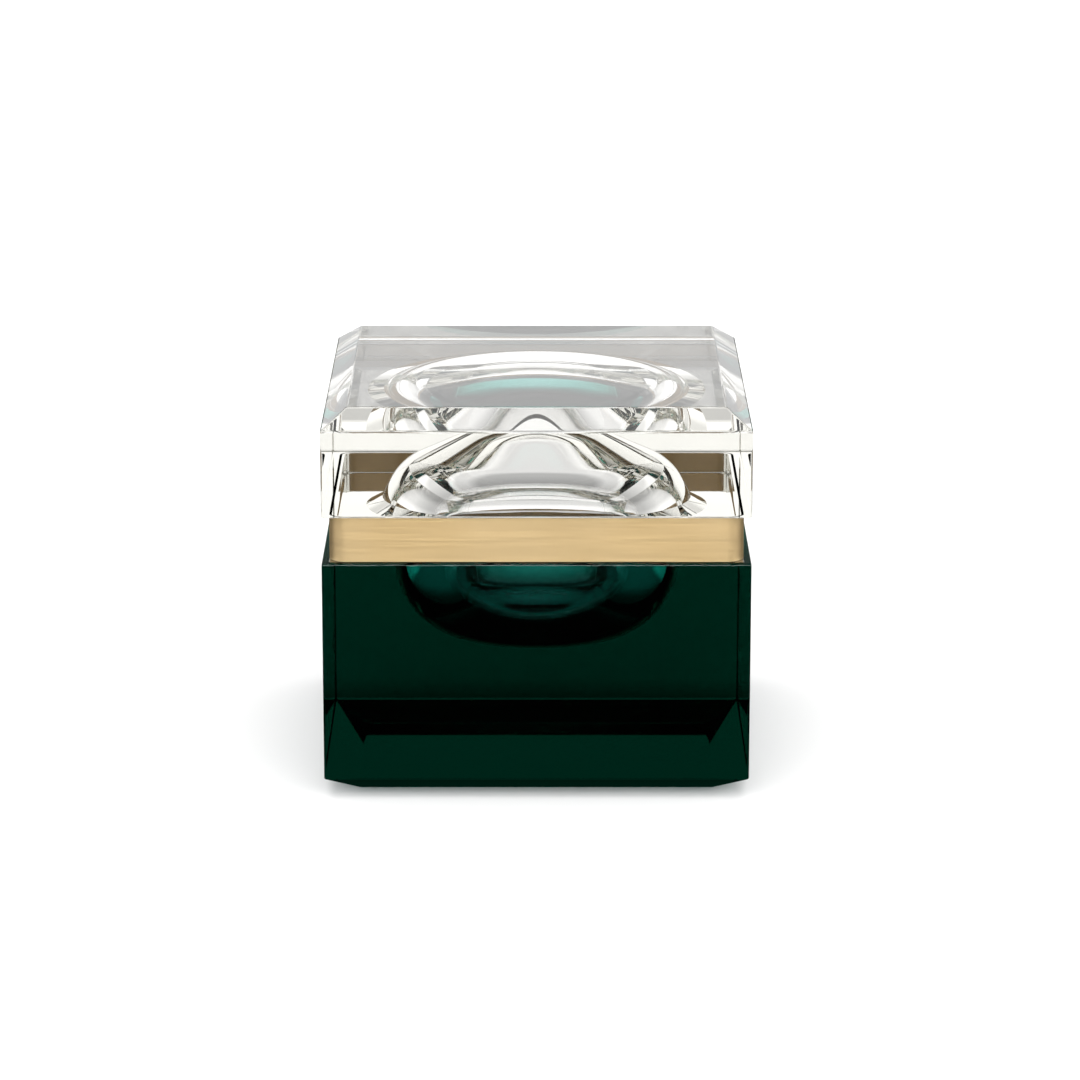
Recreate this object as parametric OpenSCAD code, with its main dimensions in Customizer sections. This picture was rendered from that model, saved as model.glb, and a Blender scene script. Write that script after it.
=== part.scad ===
// Square desk inkwell: a dark green crystal base with a ground well,
// a brass strip collar cemented round the neck of the base,
// and a clear crystal lid whose plug drops into the collar.
// Millimetres, +Z up, origin at the centre of the face it stands on.

/* [Blocks] */
// Width of both crystal blocks, left to right
block_w = 90; // [74:1:110]
// Depth of both crystal blocks, front to back
block_d = 90; // [74:1:110]
// Edge radius ground on the upright corners of both blocks
arris_r = 0.4; // [0.2:0.1:1.5]

/* [Base] */
// Height of the base block up to the ledge under the collar
base_h = 51.5; // [38:0.1:90]
// How far the bevel round the foot runs in
foot_bevel_in = 7.3; // [3:0.1:12]
// How high the bevel round the foot runs up
foot_bevel_h = 4.2; // [2:0.1:10]
// Crystal left between the well and the nearest side of the block
well_wall = 14.1; // [10:0.1:20]
// Crystal left under the well
well_floor = 27.4; // [8:0.1:30]
// Radius ground between the well's side and its floor
well_corner_r = 18; // [4:0.5:22]
// Height of the square neck inside the collar
neck_h = 3; // [1.5:0.1:4]

/* [Collar] */
// Distance from the blocks' sides in to the collar's outer face
setback = 1.5; // [0.8:0.1:4]
// Height of the brass strip
collar_h = 9.9; // [8.5:0.1:20]
// Thickness of the brass strip
strip_t = 0.8; // [0.5:0.1:1.5]
// Outer radius of the collar's bent corners
collar_r = 3.8; // [2.5:0.1:8]
// Thickness of the cement between neck and collar
cement_t = 0.2; // [0.1:0.05:0.5]
// How far the cement stops short of the neck's top
cement_short = 0.6; // [0:0.1:1]

/* [Lid] */
// Height of the lid's upright sides
lid_side_h = 18.6; // [12:0.1:30]
// How far the bevel round the lid's top runs in
top_bevel_in = 5.4; // [2:0.1:12]
// How high the bevel round the lid's top runs up
top_bevel_h = 4; // [2:0.1:8]
// Depth of the plug below the lid's sides
plug_h = 4.4; // [2:0.1:5.5]
// Running gap between plug and collar, each side
plug_gap = 0.4; // [0.2:0.05:1]
// Crystal left beside the hollow at its widest, in from the plug's side
hollow_wall = 8.7; // [6:0.1:12]
// Slope of the hollow's flank above its shoulder, in degrees
flank_slope = 24; // [15:0.5:30]
// Radius of the hollow's shoulder
shoulder_r = 14.4; // [10:0.1:17.5]
// How far the shoulder's centre lies below the plug's underside
shoulder_drop = 1.9; // [0:0.1:4]
// Radius of the hollow's crown
crown_r = 38; // [15:0.5:46]
// Width of the chamfer round the hollow's mouth
lip_w = 3; // [1:0.1:5]
// Height of the chamfer round the hollow's mouth
lip_h = 1.8; // [0.8:0.1:3]

/* [Hidden] */
$fn = 96;
eps = 1;  // overshoot of a cutting solid

narrow = min(block_w, block_d);
collar_w = block_w - 2 * setback;
collar_d = block_d - 2 * setback;
collar_top = base_h + collar_h;
inner_w = collar_w - 2 * strip_t;
inner_d = collar_d - 2 * strip_t;
inner_r = collar_r - strip_t;
neck_w = inner_w - 2 * cement_t;
neck_d = inner_d - 2 * cement_t;
neck_r = inner_r - cement_t;
plug_w = inner_w - 2 * plug_gap;
plug_d = inner_d - 2 * plug_gap;
plug_r = inner_r - plug_gap;

well_r = narrow / 2 - well_wall;
well_top = base_h + neck_h;
well_bottom_r = min(well_corner_r, well_r - eps, base_h - well_floor - eps);

lid_top = collar_top + lid_side_h + top_bevel_h;
plug_bottom = collar_top - plug_h;

cement_h = neck_h - cement_short;

// The hollow's outline, as [radius, height]: crown arc, straight flank,
// shoulder arc, chamfer. The flank touches both arcs, and n points straight
// out of it. A crown too wide for the flank takes up the whole flank.
hollow_r = min(plug_w, plug_d) / 2 - hollow_wall;
shoulder = [hollow_r - shoulder_r, plug_bottom - shoulder_drop];
n = [sin(flank_slope), cos(flank_slope)];
flank_low = shoulder + shoulder_r * n;
crown_fit_r = min(crown_r, flank_low[0] / n[0]);
apex_z = flank_low[1] + flank_low[0] * tan(flank_slope);
crown = [0, apex_z - crown_fit_r / cos(flank_slope)];
flank_high = crown + crown_fit_r * n;
lip_rise = lip_h + shoulder_drop;
lip_top = shoulder + [sqrt(pow(shoulder_r, 2) - pow(lip_rise, 2)), lip_rise];

// Square outline with rounded corners, centred on the origin
module rounded_outline(w, d, r) {
    square([w - 2 * r, d], center = true);
    square([w, d - 2 * r], center = true);
    for (x = [-1, 1], y = [-1, 1])
        translate([x * (w / 2 - r), y * (d / 2 - r)]) circle(r);
}

module rounded_slab(w, d, r, z, h) {
    translate([0, 0, z]) linear_extrude(h) rounded_outline(w, d, r);
}

// Upright wedge-sided profile of a block w wide from z0 to z1: bottom_in and
// bottom_h give the bevel at its foot, top_in and top_h the one at its top
module side_profile(w, z0, z1, bottom_in, bottom_h, top_in, top_h) {
    polygon([
        [-w / 2 + bottom_in, z0], [w / 2 - bottom_in, z0],
        [w / 2, z0 + bottom_h], [w / 2, z1 - top_h],
        [w / 2 - top_in, z1], [-w / 2 + top_in, z1],
        [-w / 2, z1 - top_h], [-w / 2, z0 + bottom_h]
    ]);
}

// Block whose bevels are mitred at the corners, as they are ground
module bevelled_block(z0, z1, bottom_in, bottom_h, top_in, top_h) {
    intersection() {
        rotate([90, 0, 0]) linear_extrude(2 * block_d, center = true)
            side_profile(block_w, z0, z1, bottom_in, bottom_h, top_in, top_h);
        rotate([90, 0, 90]) linear_extrude(2 * block_w, center = true)
            side_profile(block_d, z0, z1, bottom_in, bottom_h, top_in, top_h);
        rounded_slab(block_w, block_d, arris_r, z0 - eps, z1 - z0 + 2 * eps);
    }
}

// Straight-sided well with a rounded floor
module well_cutter() {
    rotate_extrude() {
        square([well_r - well_bottom_r, eps + well_top - well_floor]);
        translate([0, well_bottom_r])
            square([well_r, eps + well_top - well_floor - well_bottom_r]);
        intersection() {
            translate([well_r - well_bottom_r, well_bottom_r]) circle(well_bottom_r);
            square([well_r, well_bottom_r]);
        }
    }
}

// Everything of a quarter plane outward and upward of the point p
module beyond(p) {
    translate(p) square(block_w + block_d);
}

// Domed hollow under the lid, cut from below the plug
module hollow_cutter() {
    below = plug_bottom - eps;
    rotate_extrude() {
        intersection() {
            translate(crown) circle(crown_fit_r);
            beyond([0, flank_high[1]]);
        }
        polygon([
            [0, below], [flank_low[0], below],
            flank_low, flank_high, [0, flank_high[1]]
        ]);
        intersection() {
            translate(shoulder) circle(shoulder_r);
            beyond([flank_low[0], below]);
        }
        polygon([
            [0, below], [hollow_r + lip_w, below],
            [hollow_r + lip_w, plug_bottom], lip_top, [0, lip_top[1]]
        ]);
    }
}

module base_block() {
    color([0.01, 0.16, 0.11]) difference() {
        union() {
            bevelled_block(0, base_h, foot_bevel_in, foot_bevel_h, 0, 0);
            rounded_slab(neck_w, neck_d, neck_r, base_h - eps, neck_h + eps);
        }
        translate([0, 0, well_floor]) well_cutter();
    }
}

module collar_cement() {
    color([0.75, 0.74, 0.68]) difference() {
        rounded_slab(inner_w, inner_d, inner_r, base_h, cement_h);
        rounded_slab(neck_w, neck_d, neck_r, base_h - eps, cement_h + 2 * eps);
    }
}

module collar() {
    color([0.80, 0.66, 0.42]) difference() {
        rounded_slab(collar_w, collar_d, collar_r, base_h, collar_h);
        rounded_slab(inner_w, inner_d, inner_r, base_h - eps, collar_h + 2 * eps);
    }
}

module lid_block() {
    color([0.86, 0.88, 0.88]) difference() {
        union() {
            bevelled_block(collar_top, lid_top, 0, 0, top_bevel_in, top_bevel_h);
            rounded_slab(plug_w, plug_d, plug_r, plug_bottom, plug_h + eps);
        }
        hollow_cutter();
    }
}

base_block();
collar_cement();
collar();
lid_block();
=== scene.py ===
"""Looks for the crystal inkwell: two ground crystal blocks, a satin brass collar
and the cement that holds it. Metres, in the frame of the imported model."""
import math

import bpy
import bmesh
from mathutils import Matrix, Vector


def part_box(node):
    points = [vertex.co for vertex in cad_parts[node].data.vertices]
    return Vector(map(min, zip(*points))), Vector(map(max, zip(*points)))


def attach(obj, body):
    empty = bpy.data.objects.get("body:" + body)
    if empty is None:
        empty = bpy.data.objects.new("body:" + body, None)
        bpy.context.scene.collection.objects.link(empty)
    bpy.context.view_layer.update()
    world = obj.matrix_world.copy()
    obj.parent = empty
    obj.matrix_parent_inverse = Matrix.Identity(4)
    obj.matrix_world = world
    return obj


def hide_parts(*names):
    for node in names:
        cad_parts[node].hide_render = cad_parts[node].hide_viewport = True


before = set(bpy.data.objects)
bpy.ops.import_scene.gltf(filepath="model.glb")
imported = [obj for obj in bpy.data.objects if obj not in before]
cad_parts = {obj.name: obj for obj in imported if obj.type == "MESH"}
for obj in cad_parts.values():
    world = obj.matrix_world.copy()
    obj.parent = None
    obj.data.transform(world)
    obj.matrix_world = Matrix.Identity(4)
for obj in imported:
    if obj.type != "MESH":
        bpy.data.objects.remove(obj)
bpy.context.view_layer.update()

MM = 0.001

# ---------------------------------------------------------------- sizes
base_low, base_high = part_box("base_block")
collar_low, collar_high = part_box("collar")
cement_low, cement_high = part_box("collar_cement")
lid_low, lid_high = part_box("lid_block")

BLOCK = base_high.x                # half the width of both blocks
ARRIS = 0.35 * MM                  # small ground bevel on every sharp edge
CORNER = 0.4 * MM                  # radius on the upright corners

LEDGE_Z = collar_low.z             # top of the base, under the collar
FOOT_BEVEL_IN, FOOT_BEVEL_H = 7.3 * MM, 4.2 * MM
WELL_R, WELL_FLOOR, WELL_CORNER = 30.9 * MM, 27.4 * MM, 18 * MM

COLLAR = collar_high.x             # half the width of the collar
STRIP = 0.8 * MM                   # thickness of the brass strip
COLLAR_CORNER = 3.8 * MM
INNER, INNER_CORNER = COLLAR - STRIP, COLLAR_CORNER - STRIP
CEMENT = 0.2 * MM
NECK, NECK_CORNER = INNER - CEMENT, INNER_CORNER - CEMENT

LID_Z = collar_high.z              # underside of the lid's sides
TOP_BEVEL_IN, TOP_BEVEL_H = 5.4 * MM, 4.0 * MM
PLUG_GAP = 0.4 * MM
PLUG, PLUG_CORNER = INNER - PLUG_GAP, INNER_CORNER - PLUG_GAP
PLUG_Z = lid_low.z
HOLLOW_R, FLANK_SLOPE = PLUG - 8.7 * MM, 24.0
SHOULDER_R, SHOULDER_DROP, CROWN_R = 14.4 * MM, 1.9 * MM, 38 * MM
LIP_W, LIP_H = 3.0 * MM, 1.8 * MM


# ---------------------------------------------------------------- mesh helpers
def ring_angles():
    """Polar angles of a ring's points, closer together at the corners of a square."""
    near_corner = [0, 0.08, 0.16, 0.24, 0.32, 0.42, 0.55, 0.75, 1.0, 1.3, 1.6, 2.0, 2.5, 3.2]
    side = [1.5 * k for k in range(28)]
    eighth = sorted({round(a, 4) for a in side} | {round(45 - a, 4) for a in near_corner})
    quarter = eighth + [90 - a for a in reversed(eighth[:-1])][:-1]
    return [math.radians(a + 90 * q) for q in range(4) for a in quarter]


ANGLES = ring_angles()


def ring(half, corner, z):
    """A level ring: a square of that half width whose corners have that radius.
    It is a circle where the two are the same."""
    points = []
    for angle in ANGLES:
        c, s = math.cos(angle), math.sin(angle)
        a, b = max(abs(c), abs(s)), min(abs(c), abs(s))
        reach = half / a
        if reach * b > half - corner:
            k = (half - corner) * (a + b)
            inside = k * k - 2 * (half - corner) ** 2 + corner ** 2
            reach = k + math.sqrt(max(inside, 0))
        points.append(Vector((reach * c, reach * s, z)))
    return points


class Loft:
    """Closed skin over a stack of rings, where one point alone makes a pole. Every face
    is smooth, so that the renderer sees one closed body; a creased band has sharp edges
    at both of its rings."""

    def __init__(self):
        self.bm = bmesh.new()
        self.last = None

    def verts(self, points):
        return [self.bm.verts.new(p) for p in points]

    def start(self, points):
        self.last = self.verts(points)

    def to(self, points, creased=True, material=0):
        self.join(self.verts(points), creased, material)

    def join(self, new, creased, material):
        old, count = self.last, len(ANGLES)
        for i in range(count):
            j = (i + 1) % count
            if len(old) == 1:
                corners = (old[0], new[j], new[i])
            elif len(new) == 1:
                corners = (old[i], old[j], new[0])
            else:
                corners = (old[i], old[j], new[j], new[i])
            face = self.bm.faces.new(corners)
            face.smooth = True
            face.material_index = material
        if creased:
            self.crease(old)
            self.crease(new)
        self.last = new

    def crease(self, verts):
        for one, other in zip(verts, verts[1:] + verts[:1]):
            edge = self.bm.edges.get((one, other)) if one is not other else None
            if edge:
                edge.smooth = False

    def piece(self, name, *materials):
        bmesh.ops.recalc_face_normals(self.bm, faces=self.bm.faces)
        mesh = bpy.data.meshes.new(name)
        self.bm.to_mesh(mesh)
        self.bm.free()
        for material in materials:
            mesh.materials.append(material)
        obj = bpy.data.objects.new(name, mesh)
        bpy.context.scene.collection.objects.link(obj)
        return obj


def pole(z):
    return [(0, 0, z)]


def eased(path, radius, steps=4):
    """The outline path, as (half, corner, z, easing) rows, with each row's easing
    radius rounding its bend. Returns (half, corner, z, creased) rows; creased tells
    of the band that leads up to the row."""
    rows = []
    for i, (half, corner, z, ease) in enumerate(path):
        if not ease or i in (0, len(path) - 1):
            rows.append((half, corner, z, True))
            continue
        here = Vector((half, z))
        back = Vector((path[i - 1][0], path[i - 1][2])) - here
        on = Vector((path[i + 1][0], path[i + 1][2])) - here
        cut = min(ease * radius, back.length * 0.45, on.length * 0.45)
        a, b = here + back.normalized() * cut, here + on.normalized() * cut
        for k in range(steps + 1):
            t = k / steps
            p = a * (1 - t) ** 2 + here * 2 * t * (1 - t) + b * t * t
            rows.append((p.x, corner, p.y, k == 0))
    return rows


def add_rows(loft, rows):
    for half, corner, z, creased in rows:
        loft.to(ring(half, min(corner, half), z), creased)


def arc(centre, radius, start, end, step=2.0):
    """Points (radius from the axis, height) on an arc, angles in degrees."""
    count = max(2, int(abs(end - start) / step))
    turns = [math.radians(start + (end - start) * k / count) for k in range(count + 1)]
    return [(centre[0] + radius * math.cos(t), centre[1] + radius * math.sin(t)) for t in turns]


def add_round(loft, outline, creased=False):
    for r, z in outline:
        loft.to(ring(r, r, z), creased)


def between(start, end, steps):
    """Points that part the straight line from start to end into steps, without its ends."""
    start, end = Vector(start), Vector(end)
    return [tuple(start.lerp(end, k / steps)) for k in range(1, steps)]


# ---------------------------------------------------------------- materials
CRYSTAL_IOR = 1.52
DULL_IOR = 1.03        # for the ledge, where crystal would mirror the background
RELIEF = 0.01 * MM     # height of the waves in the crystal and of the brushing in the brass


def new_material(name):
    material = bpy.data.materials.new(name)
    material.use_nodes = True
    tree = material.node_tree
    return material, tree, tree.nodes["Principled BSDF"]


def node(tree, kind, settings=None, **inputs):
    made = tree.nodes.new(kind)
    for key, value in (settings or {}).items():
        setattr(made, key, value)
    for key, value in inputs.items():
        made.inputs[key.replace("_", " ")].default_value = value
    return made


def object_coordinates(tree, stretch=(1, 1, 1)):
    where = tree.nodes.new("ShaderNodeTexCoord")
    scale = node(tree, "ShaderNodeMapping", Scale=stretch)
    tree.links.new(where.outputs["Object"], scale.inputs["Vector"])
    return scale.outputs["Vector"]


def noise(tree, vector, scale, detail=3.0, roughness=0.5):
    made = node(tree, "ShaderNodeTexNoise", Scale=scale, Detail=detail, Roughness=roughness)
    tree.links.new(vector, made.inputs["Vector"])
    return made.outputs["Fac"]


def split_xyz(tree, vector):
    made = tree.nodes.new("ShaderNodeSeparateXYZ")
    tree.links.new(vector, made.inputs["Vector"])
    return made.outputs


def combined(tree, operation, *values, clamp=False):
    """The sum, product or other result of one or two values."""
    made = node(tree, "ShaderNodeMath", {"operation": operation, "use_clamp": clamp})
    for value, socket in zip(values, made.inputs):
        tree.links.new(value, socket)
    return made.outputs["Value"]


def blended(tree, factor, one, other):
    """A colour from one to other, each of them plain or given by a node."""
    made = node(tree, "ShaderNodeMix", {"data_type": "RGBA"})
    tree.links.new(factor, made.inputs["Factor"])
    for key, colour in (("A", one), ("B", other)):
        if isinstance(colour, tuple):
            made.inputs[key].default_value = colour
        else:
            tree.links.new(colour, made.inputs[key])
    return made.outputs["Result"]


def remap(tree, value, low, high, to_low, to_high):
    made = node(tree, "ShaderNodeMapRange")
    tree.links.new(value, made.inputs["Value"])
    for key, number in (("From Min", low), ("From Max", high), ("To Min", to_low), ("To Max", to_high)):
        made.inputs[key].default_value = number
    return made.outputs["Result"]


def bump(tree, height, distance):
    made = node(tree, "ShaderNodeBump", Distance=distance, Strength=1.0)
    tree.links.new(height, made.inputs["Height"])
    return made.outputs["Normal"]


def crystal(name, tint, density):
    """Polished crystal: faint waves and hairline scuffs from the polishing wheel,
    and a body colour that deepens with the glass's thickness."""
    material, tree, shader = new_material(name)
    shader.inputs["Base Color"].default_value = (1, 1, 1, 1)
    shader.inputs["Transmission Weight"].default_value = 1.0
    shader.inputs["IOR"].default_value = CRYSTAL_IOR
    scuffs = noise(tree, object_coordinates(tree, (1, 1, 14)), 160.0, 2.0)
    rough = remap(tree, scuffs, 0.62, 0.80, 0.0, 0.035)
    tree.links.new(rough, shader.inputs["Roughness"])
    waves = noise(tree, object_coordinates(tree), 38.0, 1.0)
    tree.links.new(bump(tree, waves, RELIEF), shader.inputs["Normal"])
    body = node(tree, "ShaderNodeVolumeAbsorption", Color=tint, Density=density)
    tree.links.new(body.outputs["Volume"], tree.nodes["Material Output"].inputs["Volume"])
    return material


def dull_ledge(material, from_axis, height):
    """Takes the shine off the narrow ledge at this height beyond from_axis and off its
    eased edge, so that they look as dark as the crystal under them."""
    tree = material.node_tree
    where = split_xyz(tree, object_coordinates(tree))
    across, along = (combined(tree, "ABSOLUTE", where[axis]) for axis in "XY")
    reach = combined(tree, "MAXIMUM", across, along)
    outside = remap(tree, reach, from_axis - 0.02 * MM, from_axis, 0, 1)
    level = remap(tree, where["Z"], height - 0.20 * MM, height - 0.15 * MM, 0, 1)
    ledge = combined(tree, "MULTIPLY", outside, level)
    bending = remap(tree, ledge, 0, 1, CRYSTAL_IOR, DULL_IOR)
    tree.links.new(bending, tree.nodes["Principled BSDF"].inputs["IOR"])


def brass(name, light, dark, low_rough, high_rough):
    """Satin brass strip, brushed along its length, a little darker where handled."""
    material, tree, shader = new_material(name)
    shader.inputs["Metallic"].default_value = 1.0
    brushed = noise(tree, object_coordinates(tree, (1, 1, 60)), 60.0, 4.0, 0.6)
    cloudy = noise(tree, object_coordinates(tree), 45.0, 3.0)
    colour = blended(tree, remap(tree, cloudy, 0.35, 0.75, 0.0, 1.0), light, dark)
    tree.links.new(colour, shader.inputs["Base Color"])
    rough = remap(tree, brushed, 0.3, 0.7, low_rough, high_rough)
    tree.links.new(rough, shader.inputs["Roughness"])
    tree.links.new(bump(tree, brushed, RELIEF), shader.inputs["Normal"])
    return material


def cement_material(name):
    """Cured adhesive: cloudy, slightly yellowed, with a soft sheen."""
    material, tree, shader = new_material(name)
    cloudy = noise(tree, object_coordinates(tree), 300.0, 3.0)
    colour = blended(tree, cloudy, (0.10, 0.085, 0.05, 1), (0.18, 0.16, 0.11, 1))
    tree.links.new(colour, shader.inputs["Base Color"])
    tree.links.new(remap(tree, cloudy, 0.3, 0.7, 0.3, 0.5), shader.inputs["Roughness"])
    return material


green_crystal = crystal("green_crystal", (0.0, 0.65, 0.60, 1), 132.0)
dull_ledge(green_crystal, COLLAR, LEDGE_Z)
clear_crystal = crystal("clear_crystal", (0.35, 0.30, 0.0, 1), 2.2)
brass_face = brass("brass_face", (0.95, 0.705, 0.375, 1), (0.91, 0.66, 0.33, 1), 0.37, 0.45)
# The brass on the collar's inner faces is much darker than on its face: painted shade inside the
# collar.
painted_shade_brass = brass("painted_shade_brass", (0.58, 0.41, 0.22, 1), (0.46, 0.32, 0.17, 1), 0.42, 0.55)
cement = cement_material("cement")


# ---------------------------------------------------------------- pieces
def base_block():
    """Green block: bevelled foot, ledge, square neck, round well with a rounded floor."""
    loft = Loft()
    loft.start(pole(0))
    add_rows(loft, eased([
        (0, 0, 0, 0),
        (BLOCK - FOOT_BEVEL_IN, CORNER, 0, 1),
        (BLOCK, CORNER, FOOT_BEVEL_H, 1),
        (BLOCK, CORNER, LEDGE_Z, 1),
        (NECK, NECK_CORNER, LEDGE_Z, 0),
        (NECK, NECK_CORNER, base_high.z, 1),
        (WELL_R, WELL_R, base_high.z, 0),
    ], ARRIS)[1:-1])
    mouth = arc((WELL_R + ARRIS, base_high.z - ARRIS), ARRIS, 90, 180, 20)
    corner = (WELL_R - WELL_CORNER, WELL_FLOOR + WELL_CORNER)
    add_round(loft, mouth[:1], True)
    add_round(loft, mouth[1:])
    add_round(loft, between(mouth[-1], (WELL_R, corner[1]), 6))
    add_round(loft, arc(corner, WELL_CORNER, 0, -90))
    add_round(loft, between((corner[0], WELL_FLOOR), (0, WELL_FLOOR), 12))
    loft.to(pole(WELL_FLOOR), False)
    return loft.piece("base_crystal", green_crystal)


def hollow_outline():
    """Outline of the lid's hollow from its mouth up to the axis: chamfer,
    shoulder arc, straight flank, crown arc, as part.scad draws it."""
    slope = math.radians(FLANK_SLOPE)
    normal = Vector((math.sin(slope), math.cos(slope)))
    shoulder = Vector((HOLLOW_R - SHOULDER_R, PLUG_Z - SHOULDER_DROP))
    flank_low = shoulder + SHOULDER_R * normal
    crown_r = min(CROWN_R, flank_low.x / normal.x)
    crown = Vector((0, flank_low.y + flank_low.x * math.tan(slope) - crown_r / math.cos(slope)))
    first = math.degrees(math.asin((LIP_H + SHOULDER_DROP) / SHOULDER_R))
    lower = arc(shoulder, SHOULDER_R, first, 90 - FLANK_SLOPE)
    upper = arc(crown, crown_r, 90 - FLANK_SLOPE, 90, 1.0)
    return lower + between(lower[-1], upper[0], 8) + upper


def lid_block():
    """Clear block: bevelled top, square plug below, domed hollow up from the plug."""
    outline = hollow_outline()
    lip, mouth = outline[0], (HOLLOW_R + LIP_W, PLUG_Z)
    loft = Loft()
    loft.start(pole(outline[-1][1]))
    add_round(loft, outline[-2::-1])
    add_round(loft, between(lip, mouth, 3) + [mouth], True)
    add_rows(loft, eased([
        (mouth[0], mouth[0], PLUG_Z, 0),
        (PLUG, PLUG_CORNER, PLUG_Z, 1),
        (PLUG, PLUG_CORNER, LID_Z, 0),
        (BLOCK, CORNER, LID_Z, 1),
        (BLOCK, CORNER, lid_high.z - TOP_BEVEL_H, 1),
        (BLOCK - TOP_BEVEL_IN, CORNER, lid_high.z, 1),
        (0, 0, lid_high.z, 0),
    ], ARRIS)[1:-1])
    loft.to(pole(lid_high.z))
    return loft.piece("lid_crystal", clear_crystal)


def square_tube(name, outer, outer_corner, inner, inner_corner, low, high, ease, *materials):
    """Square ring of strip with eased edges; its inner faces take the last material."""
    path = [
        (outer, outer_corner, low, 1), (outer, outer_corner, high, 1),
        (inner, inner_corner, high, 1), (inner, inner_corner, low, 1),
    ]
    rows = eased([path[-1]] + path + [path[0]], ease, 3)[1:-1]
    loft = Loft()
    loft.start(ring(*rows[0][:3]))
    first = loft.last
    middle = (outer + inner) / 2
    for half, corner, z, creased in rows[1:]:
        loft.to(ring(half, corner, z), creased, len(materials) - 1 if half < middle else 0)
    loft.join(first, True, 0)
    return loft.piece(name, *materials)


base = base_block()
lid = lid_block()
collar = square_tube("collar_strip", COLLAR, COLLAR_CORNER, INNER, INNER_CORNER,
                     collar_low.z, collar_high.z, 0.12 * MM, brass_face, painted_shade_brass)
bed = square_tube("cement_bed", INNER, INNER_CORNER, NECK, NECK_CORNER,
                  cement_low.z, cement_high.z, 0.04 * MM, cement)

for piece, body, cad_node, slot in (
    (base, "base", "base_block", "green_crystal"),
    (collar, "base", "collar", "brass"),
    (bed, "base", "collar_cement", "cement"),
    (lid, "lid", "lid_block", "clear_crystal"),
):
    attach(piece, body)
    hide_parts(cad_node)


# ---------------------------------------------------------------- stage
BEHIND = 0.92      # strength of the light from behind
SIDES = 0.6        # the same from the sides and the front
GLOW = 1.4         # how much stronger the light is low down than half-way up
OVERHEAD = 0.6     # and how much weaker right overhead
PALE = 0.74        # the floor's own paleness
MIRRORED = 0.003   # and what is left of it in mirror rays
# The floor seen through crystal is painted darker near the blocks, as painted shadow: near and far
# distance in metres, paleness at each
SHADE_BESIDE = (0.055, 0.085, 0.02, 0.15)
SHADE_BEHIND = (0.048, 0.075, 0.04, 0.70)
COVE = (0.3, 0.9, 0.0, 0.6)    # the far floor's glow, as distances and strengths
FLOOR_HALF = 3.0               # half the floor's width
FLOOR_DROP = 0.05 * MM         # how far it lies under the foot

CAMERA_AWAY = 9.8304 * 2 * BLOCK    # in front of the blocks' front faces
CAMERA_UP = 3.2941 * 2 * BLOCK      # above the floor
CAMERA_DOWN = 0.2646                # radians below level
CAMERA_LENS, CAMERA_SHIFT = 146.36, 0.0032


def stage_floor():
    """Pale floor. It is painted dark in mirror rays, standing in for a dark studio that a
    polished block would mirror in its front. Through the crystal it carries painted shadow close
    to the blocks, is painted dim at their sides and is bright behind them. Far off it glows white to
    the camera, painted light as in a lit cove."""
    mesh = bpy.data.meshes.new("floor")
    corners = [(x * FLOOR_HALF, y * FLOOR_HALF, 0) for x, y in ((-1, -1), (1, -1), (1, 1), (-1, 1))]
    mesh.from_pydata(corners, [], [(0, 1, 2, 3)])
    floor = bpy.data.objects.new("floor", mesh)
    floor.location.z = -FLOOR_DROP
    bpy.context.scene.collection.objects.link(floor)
    material, tree, shader = new_material("floor")
    shader.inputs["Roughness"].default_value = 0.9
    shader.inputs["Specular IOR Level"].default_value = 0.0

    ray = tree.nodes.new("ShaderNodeLightPath").outputs
    place = object_coordinates(tree)
    where = split_xyz(tree, place)
    # Painted shadow: seen through the crystal, the floor is darker close to the blocks.
    beside = remap(tree, combined(tree, "ABSOLUTE", where["X"]), *SHADE_BESIDE)
    behind = remap(tree, where["Y"], *SHADE_BEHIND)
    through = combined(tree, "MAXIMUM", beside, behind)
    grey = tree.nodes.new("ShaderNodeCombineColor")
    for channel in grey.inputs:
        tree.links.new(through, channel)
    seen = blended(tree, ray["Is Transmission Ray"], (PALE, PALE, PALE, 1), grey.outputs["Color"])
    # Painted dark in mirror rays, standing in for a dark studio in front.
    mirror = combined(tree, "SUBTRACT", ray["Is Glossy Ray"], ray["Is Transmission Ray"], clamp=True)
    colour = blended(tree, mirror, seen, (MIRRORED, MIRRORED, MIRRORED, 1))
    tree.links.new(colour, shader.inputs["Base Color"])

    # Painted light: the far floor glows to the camera by its own emission, as a lit cove would.
    distance = node(tree, "ShaderNodeVectorMath", {"operation": "LENGTH"})
    tree.links.new(place, distance.inputs["Vector"])
    glow = remap(tree, distance.outputs["Value"], *COVE)
    shader.inputs["Emission Color"].default_value = (1, 1, 1, 1)
    tree.links.new(combined(tree, "MULTIPLY", glow, ray["Is Camera Ray"]),
                   shader.inputs["Emission Strength"])
    mesh.materials.append(material)


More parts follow.
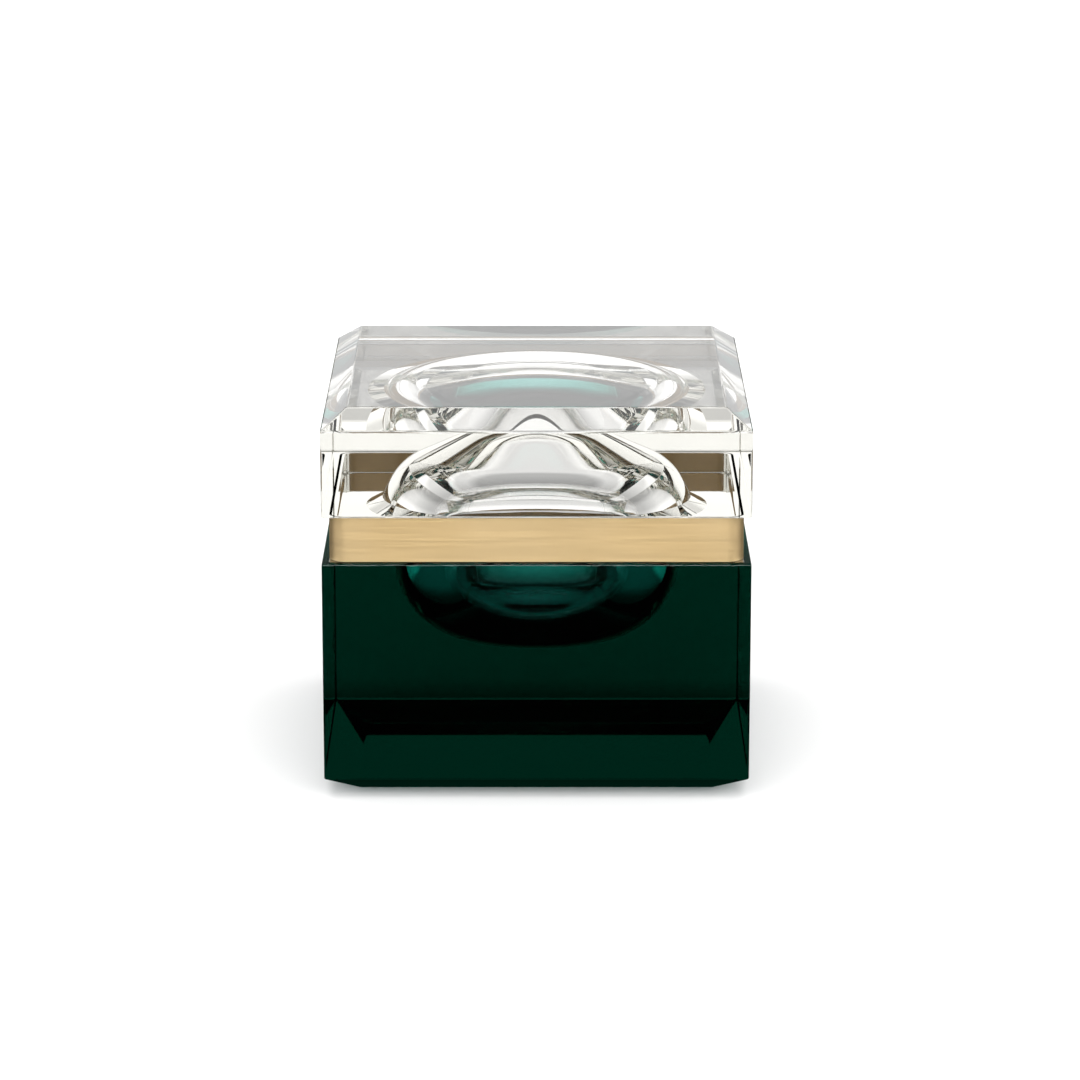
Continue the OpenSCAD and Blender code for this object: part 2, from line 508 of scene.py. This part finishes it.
def stage_world():
    """Studio light: bright behind, a little more so low down, dim at the sides, in
    front and right overhead."""
    world = bpy.data.worlds.new("studio")
    bpy.context.scene.world = world
    world.use_nodes = True
    tree = world.node_tree
    light = tree.nodes["Background"]
    light.inputs["Color"].default_value = (1, 1, 1, 1)
    direction = tree.nodes.new("ShaderNodeTexCoord").outputs["Generated"]
    where = split_xyz(tree, direction)
    strength = remap(tree, where["Y"], 0.0, 0.5, SIDES, BEHIND)
    for low, high, start, end in ((0.30, 0.42, GLOW, 1.0), (0.62, 0.76, 1.0, OVERHEAD)):
        factor = remap(tree, where["Z"], low, high, start, end)
        strength = combined(tree, "MULTIPLY", strength, factor)
    tree.links.new(strength, light.inputs["Strength"])


def soft_light(name, place, size, power):
    """Square soft box aimed at the middle of the inkwell, not seen by itself."""
    target = Vector((0, 0, 0.5 * lid_high.z))
    lamp = bpy.data.lights.new(name, "AREA")
    lamp.shape = "SQUARE"
    lamp.size = size
    lamp.energy = power
    obj = bpy.data.objects.new(name, lamp)
    obj.visible_camera = False
    obj.visible_transmission = False
    obj.location = place
    obj.rotation_euler = (target - Vector(place)).to_track_quat("-Z", "Y").to_euler()
    bpy.context.scene.collection.objects.link(obj)


def camera():
    """Long lens, 15 degrees down, square on to the front."""
    data = bpy.data.cameras.new("camera")
    data.sensor_width = 36
    data.lens = CAMERA_LENS
    data.shift_x = CAMERA_SHIFT
    data.clip_start = 0.05
    data.clip_end = 30
    obj = bpy.data.objects.new("camera", data)
    obj.location = (0, -BLOCK - CAMERA_AWAY, CAMERA_UP)
    obj.rotation_euler = (math.pi / 2 - CAMERA_DOWN, 0, 0)
    bpy.context.scene.collection.objects.link(obj)
    bpy.context.scene.camera = obj


stage_floor()
stage_world()
soft_light("top_light", (0, 0.1, 1.1), 1.4, 11.0)
soft_light("front_light", (0, -1.6, 0.75), 2.0, 38.0)
soft_light("left_light", (-0.95, -0.45, 0.35), 1.1, 8.0)
soft_light("right_light", (0.95, -0.45, 0.35), 1.1, 9.0)
camera()

scene = bpy.context.scene
scene.cycles.max_bounces = 32
scene.cycles.transmission_bounces = 32
scene.cycles.glossy_bounces = 24
scene.view_settings.view_transform = "Standard"
